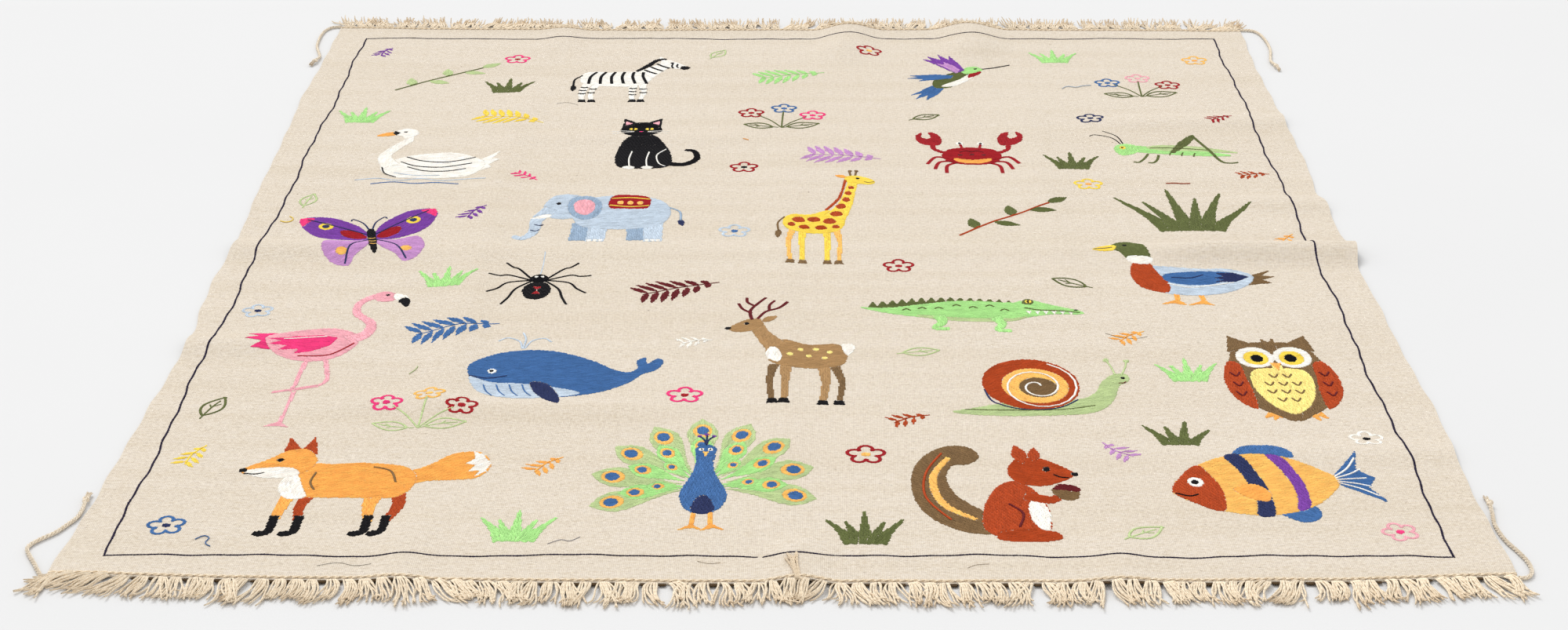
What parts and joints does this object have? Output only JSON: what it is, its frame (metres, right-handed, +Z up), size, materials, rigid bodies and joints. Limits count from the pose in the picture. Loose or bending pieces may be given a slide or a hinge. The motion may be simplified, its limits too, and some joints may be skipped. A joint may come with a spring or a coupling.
{
  "type": "embroidered kilim rug",
  "caption": "Flat-woven cream wool rug lying on a floor, with soft fold ridges, an embroidered face, a knotted fringe at each end and a knotted cord at each corner.",
  "frame": {"origin": "on the floor, under the middle of the box round the cloth and its two fringes", "axes": "+X across the width, +Y along the warp from the near end to the far end, +Z up from the floor"},
  "size_m": [2.093, 2.5482, 0.0233],
  "materials": {
    "cloth": "matt flat-woven wool",
    "fringe": "plied wool warp ends",
    "cord": "plied wool cord",
    "embroidery": "raised wool stitches in many colours"
  },
  "bodies": {
    "root": {"kilim_cloth": "cloth", "near_fringe": "fringe", "far_fringe": "fringe", "cord_near_left": "cord", "cord_near_right": "cord", "cord_far_left": "cord", "cord_far_right": "cord", "knot_near_left": "cord", "knot_near_right": "cord", "knot_far_left": "cord", "knot_far_right": "cord"}
  },
  "joints": []
}
